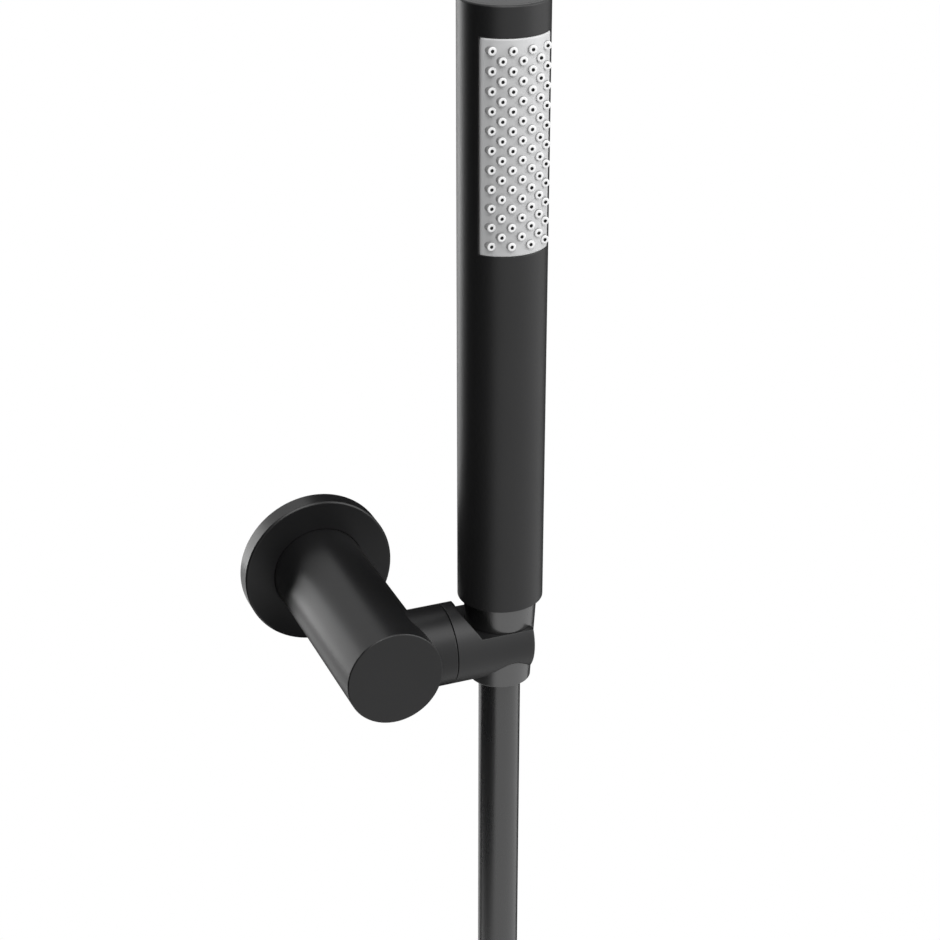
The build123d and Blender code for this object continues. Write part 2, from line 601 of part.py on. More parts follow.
# Hose drop: straight down from the tail, then round into the loops
hose_top = HANDSET.origin + Vector(0, 0, COLLAR_BOTTOM - FERRULE_GAP)
route = [hose_top] + [HANDSET.origin + Vector(aside, 0, height) for aside, height in HOSE_ROUTE]
route_radii = []
for before, corner, after in zip(route, route[1:], route[2:]):
    half_turn = radians((corner - before).get_angle(after - corner)) / 2
    shorter_run = min((corner - before).length, (after - corner).length)
    route_radii.append(ROUTE_SHARE * shorter_run * cos(half_turn) / sin(half_turn))
print("hose route radii:", [round(radius, 1) for radius in route_radii])

with BuildPart() as hose_drop:
    with BuildLine() as drop_line:
        FilletPolyline(*route, radius=route_radii)
    with BuildSketch(Plane(origin=route[0], x_dir=(1, 0, 0), z_dir=route[1] - route[0])):
        Circle(HOSE_DIA / 2)
        Circle(HOSE_BORE / 2, mode=Mode.SUBTRACT)
    sweep(path=drop_line.wire())

# Hose coil: the loops spiral in, climb one layer as the spiral reverses, spiral out again
# and end in a tail that hangs straight down
coil_heading = (route[-1] - route[-2]).normalized()
coil_begin = route[-1] + coil_heading * HOSE_DIA
coil_inward = Vector(coil_heading.Z, 0, -coil_heading.X)
coil_middle = coil_begin + coil_inward * COIL_START_RADIUS
coil_least_radius = COIL_START_RADIUS - COIL_PITCH * COIL_REVERSES_AT


def coil_radius(turn):
    """Radius of the loops: a steady spiral inwards, then outwards."""
    return coil_least_radius + COIL_PITCH * abs(turn - COIL_REVERSES_AT)


def coil_depth(turn):
    """How far the loops have climbed towards the wall."""
    climbed = (turn - COIL_REVERSES_AT) / COIL_CLIMB_TURNS + 0.5
    return COIL_PITCH * min(max(climbed, 0), 1)


def coil_point(turn):
    """Point of the hose's middle line after a number of turns."""
    along = coil_heading * sin(2 * pi * turn)
    across = coil_inward * -cos(2 * pi * turn)
    return coil_middle + (along + across) * coil_radius(turn) + Vector(0, coil_depth(turn), 0)


def coil_tangent(turn):
    """Direction of the loops, from the points an eighth of a turn before and after."""
    reach = 0.5 / COIL_STEPS_PER_TURN
    return (coil_point(turn + reach) - coil_point(turn - reach)).normalized()


def add_biarc(start, start_heading, end, end_heading):
    """Two arcs that leave start and reach end in the given directions."""
    chord = end - start
    both = start_heading + end_heading
    spread = 2 * (1 - start_heading.dot(end_heading))
    root = sqrt(chord.dot(both) ** 2 + spread * chord.dot(chord))
    reach = (root - chord.dot(both)) / spread
    first = start + start_heading * reach
    second = end - end_heading * reach
    meeting = (first + second) * 0.5
    TangentArc(start, meeting, tangent=start_heading)
    TangentArc(meeting, end, tangent=second - first)


coil_steps = round(COIL_TURNS * COIL_STEPS_PER_TURN)
turns = [COIL_TURNS * step / coil_steps for step in range(coil_steps + 1)]
headings = [coil_heading] + [coil_tangent(turn) for turn in turns[1:-1]]
coil_leaving = Vector(0, 0, -1)
headings.append(coil_leaving)
coil_end = coil_point(COIL_TURNS) + coil_leaving * COIL_TAIL

with BuildPart() as hose_coil:
    with BuildLine() as coil_line:
        Line(route[-1], coil_begin)
        for step in range(coil_steps):
            add_biarc(
                coil_point(turns[step]),
                headings[step],
                coil_point(turns[step + 1]),
                headings[step + 1],
            )
        Line(coil_point(COIL_TURNS), coil_end)
    with BuildSketch(Plane(origin=route[-1], x_dir=(0, 1, 0), z_dir=coil_heading)):
        Circle(HOSE_DIA / 2)
        Circle(HOSE_BORE / 2, mode=Mode.SUBTRACT)
    sweep(path=coil_line.wire())

# Least gap of the hose to itself, on points well apart along it
drop_wire = drop_line.wire()
coil_wire = coil_line.wire()
drop_shares = [i / DROP_SAMPLES for i in range(DROP_SAMPLES)]
coil_shares = [i / COIL_SAMPLES for i in range(COIL_SAMPLES + 1)]
hose_points = [drop_wire.position_at(share) for share in drop_shares]
hose_points += [coil_wire.position_at(share) for share in coil_shares]
hose_places = [drop_wire.length * share for share in drop_shares]
hose_places += [drop_wire.length + coil_wire.length * share for share in coil_shares]
hose_length = drop_wire.length + coil_wire.length
least_gap = min(
    (hose_points[i] - hose_points[j]).length - HOSE_DIA
    for i in range(len(hose_points))
    for j in range(i)
    if hose_places[i] - hose_places[j] > 2 * coil_least_radius
)
print("hose length:", round(hose_length, 1), "least gap to itself:", round(least_gap, 2))
hose_section = pi * (HOSE_DIA**2 - HOSE_BORE**2) / 4
print("drop volume ratio:", round(hose_drop.part.volume / (hose_section * drop_wire.length), 5))
print("coil volume ratio:", round(hose_coil.part.volume / (hose_section * coil_wire.length), 5))

# Coil tie: a strap round the loops where the hose runs into them
with BuildPart() as coil_tie:
    tie_turns = [TIE_AT_TURN + lap for lap in range(TIE_LAPS)]
    tie_outward = (coil_point(TIE_AT_TURN) - coil_middle).normalized()
    TIE = Plane(
        origin=coil_middle,
        x_dir=tie_outward,
        z_dir=tie_outward.cross(Vector(0, 1, 0)),
    )
    tie_spots = [(coil_radius(turn), coil_depth(turn)) for turn in tie_turns]
    tie_inside = HOSE_DIA / 2 + TIE_SLACK
    with BuildSketch(TIE):
        with Locations(*tie_spots):
            Circle(tie_inside + TIE_THICK)
        make_hull()
    extrude(amount=TIE_WIDTH / 2, both=True)
    with BuildSketch(TIE):
        with Locations(*tie_spots):
            Circle(tie_inside)
        make_hull()
    extrude(amount=TIE_WIDTH, both=True, mode=Mode.SUBTRACT)

# Outlet fittings, on the axis of the hose's far end
OUTLET = Plane(origin=coil_end, x_dir=(1, 0, 0), z_dir=coil_leaving)
OUTLET_SECTION = Plane(origin=coil_end, x_dir=(1, 0, 0), z_dir=Vector(1, 0, 0).cross(coil_leaving))
OUTLET_AXIS = Axis(coil_end, coil_leaving)
outlet_collar_bottom = FERRULE_GAP
outlet_collar_top = outlet_collar_bottom + COLLAR_THICK
outlet_washer_top = outlet_collar_top + WASHER_THICK
outlet_thread_bottom = outlet_washer_top + OUTLET_NUT_RELIEF_PAST
outlet_ring_bottom = outlet_collar_bottom - SWIVEL_RING_THICK
outlet_nut_bottom = outlet_ring_bottom - OUTLET_NUT_BASE
outlet_nut_top = outlet_nut_bottom + OUTLET_NUT_LENGTH
print("outlet:", [round(value, 3) for value in coil_end])

# Outlet tail: the barbed stem and collar at the far end of the hose
with BuildPart() as outlet_nipple:
    with BuildSketch(OUTLET_SECTION):
        Polygon(nipple_profile(outlet_collar_top), align=None)
    revolve(axis=OUTLET_AXIS)

# Ferrule crimped round that end of the hose
with BuildPart() as outlet_ferrule:
    with BuildSketch(OUTLET):
        Circle(FERRULE_RADIUS)
        Circle(HOSE_DIA / 2 + HOSE_FIT, mode=Mode.SUBTRACT)
    extrude(amount=-FERRULE_LENGTH)

# Slip ring under the outlet's collar
with BuildPart() as outlet_ring:
    with BuildSketch(OUTLET.offset(outlet_ring_bottom)):
        Circle(THREAD_DIA / 2 - ASSEMBLY_CLEARANCE)
        Circle(FERRULE_RADIUS + ASSEMBLY_CLEARANCE, mode=Mode.SUBTRACT)
    extrude(amount=SWIVEL_RING_THICK)

# Outlet washer: the flat seal that the water supply's end closes on
with BuildPart() as outlet_washer:
    with BuildSketch(OUTLET.offset(outlet_collar_top)):
        Circle(WASHER_DIA / 2)
        Circle(WASHER_HOLE / 2, mode=Mode.SUBTRACT)
    extrude(amount=WASHER_THICK)

# Outlet nut: a hexagon that spins on the tail and screws on the water supply
with BuildPart() as outlet_nut:
    with BuildSketch(OUTLET.offset(outlet_nut_bottom)):
        RegularPolygon(OUTLET_NUT_FLATS / 2, 6, major_radius=False)
    extrude(amount=OUTLET_NUT_LENGTH)
    corner_radius = OUTLET_NUT_FLATS / sqrt(3)
    with BuildSketch(OUTLET_SECTION):
        Polygon(
            [
                (0, outlet_nut_bottom),
                (corner_radius - OUTLET_NUT_CHAMFER, outlet_nut_bottom),
                (corner_radius, outlet_nut_bottom + OUTLET_NUT_CHAMFER),
                (corner_radius, outlet_nut_top - OUTLET_NUT_CHAMFER),
                (corner_radius - OUTLET_NUT_CHAMFER, outlet_nut_top),
                (0, outlet_nut_top),
            ],
            align=None,
        )
    revolve(axis=OUTLET_AXIS, mode=Mode.INTERSECT)
    with BuildSketch(OUTLET.offset(outlet_nut_bottom)):
        Circle(THROAT_RADIUS)
    extrude(amount=OUTLET_NUT_LENGTH, mode=Mode.SUBTRACT)
    with BuildSketch(OUTLET.offset(outlet_ring_bottom)):
        Circle(THREAD_DIA / 2 + OUTLET_NUT_RELIEF)
    extrude(amount=outlet_thread_bottom - outlet_ring_bottom, mode=Mode.SUBTRACT)
    with BuildSketch(OUTLET.offset(outlet_thread_bottom)):
        Circle(THREAD_DIA / 2)
    extrude(amount=OUTLET_NUT_LENGTH, mode=Mode.SUBTRACT)

pieces = {
    "wall_plate": wall_plate,
    "wall_flange": wall_flange,
    "arm": arm,
    "arm_grub_screw": arm_grub_screw,
    "friction_washer": friction_washer,
    "spring_washer": spring_washer,
    "pivot_screw": pivot_screw,
    "cradle": cradle,
    "handset_tube": handset_tube,
    "top_cap": top_cap,
    "spray_plate": spray_plate,
    "nozzle_mat": nozzle_mat,
    "water_carrier": water_carrier,
    "carrier_o_ring": carrier_o_ring,
    "inlet_spigot": inlet_spigot,
    "flow_regulator": flow_regulator,
    "filter_washer": filter_washer,
    "cone_nut": cone_nut,
    "swivel_ring": swivel_ring,
    "hose_nipple": hose_nipple,
    "nipple_ferrule": nipple_ferrule,
    "hose_drop": hose_drop,
    "hose_coil": hose_coil,
    "coil_tie": coil_tie,
    "outlet_nipple": outlet_nipple,
    "outlet_ferrule": outlet_ferrule,
    "outlet_ring": outlet_ring,
    "outlet_washer": outlet_washer,
    "outlet_nut": outlet_nut,
}
os.makedirs("parts", exist_ok=True)
for name, piece in pieces.items():
    piece.part.label = name
    export_step(piece.part, f"parts/{name}.step")
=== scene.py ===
"""Looks of a slim round shower handset in its wall bracket, with its hose hung up in loops.

Metres, in the model's own frame: +X along the wall, +Y into the wall and +Z up.
"""

import json
from math import cos, pi, radians, sin

import bmesh
import bpy
import numpy as np
from bpy.props import FloatProperty, FloatVectorProperty, IntProperty, PointerProperty
from mathutils import Matrix, Vector


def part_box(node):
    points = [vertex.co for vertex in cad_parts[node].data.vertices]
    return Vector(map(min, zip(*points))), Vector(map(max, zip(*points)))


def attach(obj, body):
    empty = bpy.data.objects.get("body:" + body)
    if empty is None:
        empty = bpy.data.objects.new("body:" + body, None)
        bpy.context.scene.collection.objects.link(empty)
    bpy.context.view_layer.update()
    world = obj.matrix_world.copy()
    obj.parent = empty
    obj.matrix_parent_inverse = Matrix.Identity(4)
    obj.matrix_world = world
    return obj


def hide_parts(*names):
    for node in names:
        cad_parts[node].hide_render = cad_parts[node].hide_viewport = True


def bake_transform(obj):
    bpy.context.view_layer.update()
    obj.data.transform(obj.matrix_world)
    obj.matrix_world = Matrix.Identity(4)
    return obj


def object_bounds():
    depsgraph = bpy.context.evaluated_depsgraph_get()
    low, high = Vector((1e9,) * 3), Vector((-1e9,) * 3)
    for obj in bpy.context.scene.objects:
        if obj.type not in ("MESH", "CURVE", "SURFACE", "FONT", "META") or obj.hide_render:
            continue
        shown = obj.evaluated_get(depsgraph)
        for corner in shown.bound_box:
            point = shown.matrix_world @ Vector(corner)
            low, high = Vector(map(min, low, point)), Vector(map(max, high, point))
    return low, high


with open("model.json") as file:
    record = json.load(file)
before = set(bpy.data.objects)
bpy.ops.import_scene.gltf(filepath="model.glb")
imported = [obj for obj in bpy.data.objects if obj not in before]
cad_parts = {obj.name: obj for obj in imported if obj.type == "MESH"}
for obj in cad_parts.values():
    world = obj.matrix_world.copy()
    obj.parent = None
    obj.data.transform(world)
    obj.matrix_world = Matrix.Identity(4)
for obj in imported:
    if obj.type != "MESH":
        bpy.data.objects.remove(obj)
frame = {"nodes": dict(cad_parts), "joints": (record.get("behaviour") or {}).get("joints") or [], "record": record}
CAD_BOX = [list(corner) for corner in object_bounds()]

bl_info = {
    "name": "Shower handset",
    "version": (1, 0, 0),
    "blender": (4, 5, 0),
    "location": "View3D > Sidebar > Shower",
    "description": "Finishes, spray face, hose and stage of a wall-mounted shower handset",
    "category": "Object",
}

# Places and sizes read from the frame
TUBE_LOW, TUBE_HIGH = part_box("handset_tube")
AXIS_X = (TUBE_LOW.x + TUBE_HIGH.x) / 2
AXIS_Y = (TUBE_LOW.y + TUBE_HIGH.y) / 2
TUBE_RADIUS = (TUBE_HIGH.x - TUBE_LOW.x) / 2
PLATE_LOW, PLATE_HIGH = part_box("spray_plate")
PLATE_RADIUS = AXIS_Y - PLATE_LOW.y
PLATE_HALF_WIDTH = (PLATE_HIGH.x - PLATE_LOW.x) / 2
PLATE_MIDDLE = (PLATE_LOW.z + PLATE_HIGH.z) / 2
NOZZLE_TIP_RADIUS = AXIS_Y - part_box("nozzle_mat")[0].y
HOSE_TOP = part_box("hose_drop")[1].z
HOSE_HINGE = next(Vector(joint["pos_m"]) for joint in frame["joints"] if joint["name"] == "hose_flex")

# Distances above and below the hose's hinge for a bend when the cradle tilts; two points are worked out from them,
# but nothing bends the hose. A longer bend would meet the wall
HOSE_BEND_ABOVE, HOSE_BEND_BELOW = 0.024, 0.112

# The floor is this far below the object, and the cards stand this far above the floor
FLOOR_DROP, CARD_LIFT = 0.10, 0.005
FLOOR_HEIGHT = CAD_BOX[0][2] - FLOOR_DROP

# Points closer than this are one, and edges sharper than this stay sharp
MERGE_DISTANCE, SHARP_ANGLE = 1e-6, radians(40)

# The lamps point at this height on the handset's axis, and the camera's sensor is this many millimetres wide
AIM_HEIGHT, SENSOR_WIDTH = 0.05, 36.0

# The hose's route, listed: distances aside from the handset's axis, and heights
HOSE_ROUTE = [(0.0, -0.113), (0.0, -0.146), (0.00856, -0.178), (0.02506, -0.2066), (0.04836, -0.2299)]


class HandsetSizes(bpy.types.PropertyGroup):
    """Sizes of the spray face."""

    plate_edge: FloatProperty(
        name="Plate edge", description="Rounding of the spray plate's rim", default=0.0006, unit="LENGTH"
    )
    plate_gap: FloatProperty(
        name="Plate gap",
        description="Room left at each side of the spray plate",
        default=0.00025,
        unit="LENGTH",
    )
    tube_wall: FloatProperty(
        name="Tube wall", description="Wall of the handset's tube", default=0.0016, unit="LENGTH"
    )
    column_angle: FloatProperty(
        name="Column angle",
        description="Angle between columns of nozzles",
        default=radians(11.627),
        subtype="ANGLE",
    )
    row_pitch: FloatProperty(
        name="Row pitch", description="Distance between nozzles in a column", default=0.005923, unit="LENGTH"
    )
    columns: IntProperty(name="Columns", description="Columns of nozzles", default=7)
    rows: IntProperty(name="Rows", description="Nozzles in a long column", default=11)
    nozzle_length: FloatProperty(
        name="Nozzle length",
        description="From a nozzle's tip back into the plate",
        default=0.0030,
        unit="LENGTH",
    )
    base_width: FloatProperty(
        name="Nozzle base", description="Width of a nozzle in the plate", default=0.0029, unit="LENGTH"
    )
    tip_width: FloatProperty(
        name="Nozzle tip", description="Width of a nozzle at its tip", default=0.00265, unit="LENGTH"
    )
    hole_width: FloatProperty(
        name="Nozzle hole", description="Width of a nozzle's hole", default=0.0010, unit="LENGTH"
    )
    hole_depth: FloatProperty(
        name="Hole depth",
        description="How far down a nozzle's hole can be seen",
        default=0.0005,
        unit="LENGTH",
    )
    lip: FloatProperty(
        name="Nozzle lip", description="Rounding of a nozzle's outer lip", default=0.00032, unit="LENGTH"
    )
    hole_lip: FloatProperty(
        name="Hole lip", description="Rounding of a nozzle's hole", default=0.0001, unit="LENGTH"
    )
    # Painted shade: how much the nozzles' sides are darkened as if unlit
    painted_side_shade: FloatProperty(
        name="Side shade",
        description="How much darker a nozzle's sides are than its tip",
        default=0.75,
        subtype="FACTOR",
    )


class HoseSizes(bpy.types.PropertyGroup):
    """Sizes of the hose and of the loops that it hangs in."""

    width: FloatProperty(name="Hose", description="Outer diameter of the hose", default=0.014, unit="LENGTH")
    bore: FloatProperty(name="Bore", description="Inner diameter of the hose", default=0.008, unit="LENGTH")
    length: FloatProperty(name="Length", description="Length of the hose", default=1.49, unit="LENGTH")
    turns: FloatProperty(name="Turns", description="Loops of the hose", default=2.125)
    radius: FloatProperty(
        name="Loop radius",
        description="Radius of the first loop",
        default=0.090,
        unit="LENGTH",
    )
    pitch: FloatProperty(
        name="Pitch",
        description="Distance from loop to loop",
        default=0.0146,
        unit="LENGTH",
    )
    reverses: FloatProperty(name="Reverses", description="Turn where the spiral reverses", default=1.0)
    climb: FloatProperty(name="Climb", description="Turns in which the loops climb a layer", default=0.5)
    tail: FloatProperty(name="Tail", description="Straight end below the loops", default=0.118, unit="LENGTH")
    tie_turn: FloatProperty(name="Tie", description="Turn where the strap ties the loops", default=0.06)
    tie_width: FloatProperty(name="Tie width", description="Width of the strap", default=0.016, unit="LENGTH")
    tie_thickness: FloatProperty(
        name="Tie thickness", description="Thickness of the strap", default=0.0015, unit="LENGTH"
    )
    tie_slack: FloatProperty(
        name="Tie slack", description="Room between the strap and the loops", default=0.0013, unit="LENGTH"
    )


class FinishColours(bpy.types.PropertyGroup):
    """Colours of the finishes."""

    paint: FloatVectorProperty(
        name="Paint", description="Matte black powder coat", default=(0.010, 0.010, 0.0105), subtype="COLOR"
    )
    plate: FloatVectorProperty(
        name="Plate", description="Light grey spray plate", default=(0.60, 0.603, 0.607), subtype="COLOR"
    )
    silicone: FloatVectorProperty(
        name="Silicone", description="Pale nozzle silicone", default=(0.86, 0.862, 0.865), subtype="COLOR"
    )
    sheath: FloatVectorProperty(
        name="Sheath", description="Black sheath of the hose", default=(0.010, 0.010, 0.0105), subtype="COLOR"
    )
    moulding: FloatVectorProperty(
        name="Moulding", description="Natural moulded plastic", default=(0.62, 0.61, 0.57), subtype="COLOR"
    )
    brass: FloatVectorProperty(
        name="Brass", description="Machined brass", default=(0.70, 0.50, 0.22), subtype="COLOR"
    )
    steel: FloatVectorProperty(
        name="Steel", description="Plain stainless steel", default=(0.44, 0.44, 0.45), subtype="COLOR"
    )
    rubber: FloatVectorProperty(
        name="Rubber", description="Black seal rubber", default=(0.018, 0.018, 0.018), subtype="COLOR"
    )
    strap: FloatVectorProperty(
        name="Strap", description="Woven strap", default=(0.030, 0.030, 0.031), subtype="COLOR"
    )


class StageSettings(bpy.types.PropertyGroup):
    """Camera and lamps."""

    azimuth: FloatProperty(
        name="Azimuth",
        description="How far left of the front the camera stands",
        default=radians(21.934),
        subtype="ANGLE",
    )
    elevation: FloatProperty(
        name="Elevation",
        description="How far above the target the camera stands",
        default=radians(26.045),
        subtype="ANGLE",
    )
    distance: FloatProperty(
        name="Distance", description="From the camera to its target", default=0.69645, unit="LENGTH"
    )
    target: FloatVectorProperty(
        name="Target",
        description="Point in the middle of the view",
        default=(0.033516, -0.064615, 0.059499),
        subtype="XYZ",
    )
    lens: FloatProperty(name="Lens", description="Focal length in millimetres", default=83.137)
    key_power: FloatProperty(
        name="Key",
        description="Power of the large lamp on the right",
        default=20.0,
        unit="POWER",
    )
    rim_power: FloatProperty(
        name="Rim",
        description="Power of the lamp behind on the left",
        default=6.5,
        unit="POWER",
    )
    fill_power: FloatProperty(
        name="Fill",
        description="Power of the high lamp in front",
        default=19.0,
        unit="POWER",
    )
    room_light: FloatProperty(name="Room", description="Even light from all round", default=0.25)


class Wire:
    """A shader value. Arithmetic on it adds Math nodes to its tree."""

    def __init__(self, shading, socket):
        self.shading = shading
        self.socket = socket

    def math(self, operation, first, second=0.0):
        return self.shading.node("ShaderNodeMath", {"operation": operation}, {0: first, 1: second})

    def __add__(self, other):
        return self.math("ADD", self, other)

    __radd__ = __add__

    def __sub__(self, other):
        return self.math("SUBTRACT", self, other)

    def __rsub__(self, other):
        return self.math("SUBTRACT", other, self)

    def __mul__(self, other):
        return self.math("MULTIPLY", self, other)

    __rmul__ = __mul__

    def maximum(self, other):
        return self.math("MAXIMUM", self, other)

    def beside(self, name):
        """Another output of the same node."""
        return Wire(self.shading, self.socket.node.outputs[name])

    def sine(self):
        return self.math("SINE", self)


class Shading:
    """A node tree, and the one method that adds nodes to it."""

    def __init__(self, tree):
        self.tree = tree

    def node(self, kind, settings=None, inputs=None, output=0):
        """Adds a node, sets its settings, then its sockets' values or links, and gives one output."""
        made = self.tree.nodes.new(kind)
        for name, value in (settings or {}).items():
            setattr(made, name, value)
        for name, value in (inputs or {}).items():
            self.join(value, made.inputs[name])
        return Wire(self, made.outputs[output])

    def join(self, value, socket):
        if isinstance(value, Wire):
            self.tree.links.new(value.socket, socket)
        else:
            socket.default_value = value


class Finish(Shading):
    """A material with one Principled shader."""

    def __init__(self, name, sockets):
        self.material = bpy.data.materials.new(name)
        self.material.use_nodes = True
        super().__init__(self.material.node_tree)
        self.shader = self.tree.nodes["Principled BSDF"]
        self.set(sockets)

    def set(self, sockets):
        for name, value in sockets.items():
            self.join(value, self.shader.inputs[name])

    def place(self):
        return self.node("ShaderNodeTexCoord", output="Object")

    def noise(self, place, scale, detail=2.0):
        """Noise from 0 to 1, with its grain 1/scale metres across."""
        return self.node("ShaderNodeTexNoise", {}, {"Vector": place, "Scale": scale, "Detail": detail})

    def tinted(self, colour, amount, share):
        """The colour, darkened by up to the amount where share is 1."""
        dark = [part * (1 - amount) for part in colour] + [1.0]
        # A Mix node has sockets of the same name for each type of data, and 6, 7 and 2 are those for colours
        sockets = {0: share, 6: [*colour, 1.0], 7: dark}
        return self.node("ShaderNodeMix", {"data_type": "RGBA"}, sockets, output=2)

    def bump(self, height, distance, strength=1.0, edge=0.0):
        """A bump of that height in metres, over edges that look rounded by a radius."""
        sockets = {"Height": height, "Distance": distance, "Strength": strength}
        if edge:
            sockets["Normal"] = self.node("ShaderNodeBevel", {"samples": 8}, {"Radius": edge})
        return self.node("ShaderNodeBump", {}, sockets)


def powder_coat(name, colour, shine, roughness):
    """Matte black paint: a fine orange peel, with slow changes of tone and gloss."""
    finish = Finish(name, {"Specular IOR Level": shine})
    place = finish.place()
    peel = finish.noise(place, scale=1500, detail=3.0)
    cloud = finish.noise(place, scale=45)
    finish.set(
        {
            "Base Color": finish.tinted(colour, amount=0.35, share=cloud),
            "Roughness": roughness + 0.08 * cloud + 0.06 * peel,
            "Normal": finish.bump(peel, distance=0.00002, strength=0.35, edge=0.0004),
        }
    )
    return finish.material


def satin_black(colour):
    """Smooth black plating on the nut, with more gloss than the paint."""
    finish = Finish("satin_black", {"IOR": 1.62, "Specular IOR Level": 1.0})
    place = finish.place()
    grain = finish.noise(place, scale=2500, detail=2.0)
    cloud = finish.noise(place, scale=70)
    finish.set(
        {
            "Base Color": finish.tinted(colour, amount=0.3, share=cloud),
            "Roughness": 0.24 + 0.05 * cloud + 0.04 * grain,
            "Normal": finish.bump(grain, distance=0.000002, strength=0.2, edge=0.0003),
        }
    )
    return finish.material


def satin_plate(colour):
    """Satin grey moulding with a fine spark texture."""
    finish = Finish("satin_plate", {"Specular IOR Level": 0.5})
    place = finish.place()
    spark = finish.noise(place, scale=3200, detail=3.0)
    cloud = finish.noise(place, scale=60)
    finish.set(
        {
            "Base Color": finish.tinted(colour, amount=0.06, share=cloud),
            "Roughness": 0.36 + 0.10 * spark,
            "Normal": finish.bump(spark, distance=0.00001, strength=0.4),
        }
    )
    return finish.material


def silicone(colour):
    """Soft pale silicone, a little cloudy, with painted shade darkening the sides and down the holes."""
    finish = Finish("nozzle_silicone", {"Specular IOR Level": 0.4})
    cloud = finish.noise(finish.place(), scale=700, detail=3.0)
    # Painted shade kept on the nozzles' points: dark down the holes and on the unlit sides
    dark = finish.node("ShaderNodeAttribute", {"attribute_name": "painted_shade"}, output="Fac")
    finish.set(
        {
            "Base Color": finish.tinted(colour, amount=0.985, share=(0.06 * cloud).maximum(dark)),
            "Roughness": 0.42 + 0.12 * cloud,
            "Normal": finish.bump(cloud, distance=0.00001, strength=0.5),
        }
    )
    return finish.material


def hose_sheath(colour):
    """Smooth black sheath: faint draw lines along the hose, from the piece's own UV map."""
    finish = Finish("hose_sheath", {"Specular IOR Level": 1.0})
    along = finish.node("ShaderNodeUVMap", {"uv_map": "UVMap"})
    stretched = finish.node("ShaderNodeMapping", {}, {"Vector": along, "Scale": (25.0, 1.0, 1.0)})
    lines = finish.noise(stretched, scale=30)
    cloud = finish.noise(finish.place(), scale=50)
    finish.set(
        {
            "Base Color": finish.tinted(colour, amount=0.25, share=cloud),
            "Roughness": 0.23 + 0.05 * cloud + 0.04 * lines,
            "Normal": finish.bump(lines, distance=0.000005, strength=0.3),
        }
    )
    return finish.material


def woven_strap(colour):
    """Plain weave: threads 0.8 mm wide, over and under, from the piece's own UV map."""
    finish = Finish("woven_strap", {"Specular IOR Level": 0.3})
    along = finish.node("ShaderNodeUVMap", {"uv_map": "UVMap"})
    across = finish.node("ShaderNodeSeparateXYZ", {}, {0: along}, output="X")
    length = across.beside("Y")
    thread_width = 0.0008
    wave = pi / thread_width
    weave = (across * wave).sine() * (length * wave).sine()
    fuzz = finish.noise(finish.place(), scale=2500, detail=3.0)
    finish.set(
        {
            "Base Color": finish.tinted(colour, amount=0.5, share=weave * 0.5 + 0.5),
            "Roughness": 0.75 + 0.15 * fuzz,
            "Sheen Weight": 0.25,
            "Normal": finish.bump(weave * 0.7 + fuzz * 0.3, distance=0.00018, strength=0.8),
        }
    )
    return finish.material


def turned_metal(name, colour, roughness):
    """Machined metal: fine tool marks and slow changes of gloss."""
    finish = Finish(name, {"Metallic": 1.0})
    place = finish.place()
    marks = finish.noise(place, scale=4000, detail=2.0)
    cloud = finish.noise(place, scale=90)
    finish.set(
        {
            "Base Color": finish.tinted(colour, amount=0.2, share=cloud),
            "Roughness": roughness + 0.12 * marks,
            "Normal": finish.bump(marks, distance=0.00001, strength=0.4, edge=0.0002),
        }
    )
    return finish.material


def moulded(name, colour, roughness):
    """Plain moulded plastic or rubber with a fine grain."""
    finish = Finish(name, {"Specular IOR Level": 0.45})
    place = finish.place()
    grain = finish.noise(place, scale=1800, detail=3.0)
    cloud = finish.noise(place, scale=80)
    finish.set(
        {
            "Base Color": finish.tinted(colour, amount=0.12, share=cloud),
            "Roughness": roughness + 0.12 * grain,
            "Normal": finish.bump(grain, distance=0.00002, strength=0.4, edge=0.0002),
        }
    )
    return finish.material


def rounded(corners, radii, steps=6):
    """Closed outline through the corners, each turned into an arc of its radius."""
    corners = np.array(corners, float)
    before = np.roll(corners, 1, axis=0) - corners
    after = np.roll(corners, -1, axis=0) - corners
    outline = []
    for corner, back, ahead, radius in zip(corners, before, after, radii):
        back = back / np.linalg.norm(back)
        ahead = ahead / np.linalg.norm(ahead)
        if radius == 0:
            outline.append(corner[None])
            continue
        half = np.arccos(np.clip(back @ ahead, -1, 1)) / 2
        middle = corner + (back + ahead) / np.linalg.norm(back + ahead) * radius / np.sin(half)
        first = corner + back * radius / np.tan(half) - middle
        last = corner + ahead * radius / np.tan(half) - middle
        turn = pi - 2 * half
        share = np.linspace(0, 1, steps)[:, None]
        arc = (np.sin((1 - share) * turn) * first + np.sin(share * turn) * last) / np.sin(turn)
        outline.append(middle + arc)
    return np.concatenate(outline)


def grid_faces(rows, columns, wrap_rows):
    """Quads of a grid whose columns wrap, as vertex numbers, with the grid place of each corner."""
    row = np.arange(rows if wrap_rows else rows - 1)
    row, column = (part.ravel() for part in np.meshgrid(row, np.arange(columns), indexing="ij"))
    places = np.stack([[row, column], [row, column + 1], [row + 1, column + 1], [row + 1, column]])
    places = places.transpose(2, 0, 1)
    faces = places[..., 0] % rows * columns + places[..., 1] % columns
    return faces, places


